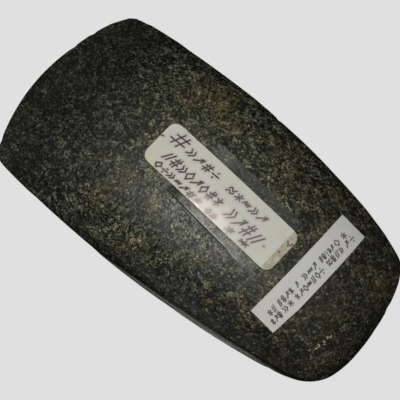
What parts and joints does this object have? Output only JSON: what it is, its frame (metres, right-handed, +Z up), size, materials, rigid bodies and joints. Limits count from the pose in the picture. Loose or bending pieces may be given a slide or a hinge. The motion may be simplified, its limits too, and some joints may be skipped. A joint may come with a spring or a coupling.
{
  "type": "polished stone axe",
  "caption": "Polished stone axe head lying flat, with a flared curved cutting edge, ground sides, a blunt poll and two paper labels stuck on its upper face.",
  "frame": {"origin": "centre of the bounding box's underside, on the surface that the axe lies on", "axes": "+X along the axe towards the blunt poll, so the cutting edge points to -X; +Z up, out of the labelled face"},
  "size_m": [0.1122, 0.0582, 0.0271],
  "materials": {
    "polished_stone": "polished, worn to a low sheen, speckled dark green-grey with ochre mottling",
    "written_paper": "aged off-white paper with pen strokes and a stained end",
    "clear_tape": "clear film, glossy, with streaks and bubbles along its edges",
    "printed_paper": "matt grey-white paper with two rows of printed marks"
  },
  "bodies": {
    "root": {"axe_stone": "polished_stone", "written_label": "written_paper", "clear_tape": "clear_tape", "printed_label": "printed_paper"}
  },
  "joints": []
}
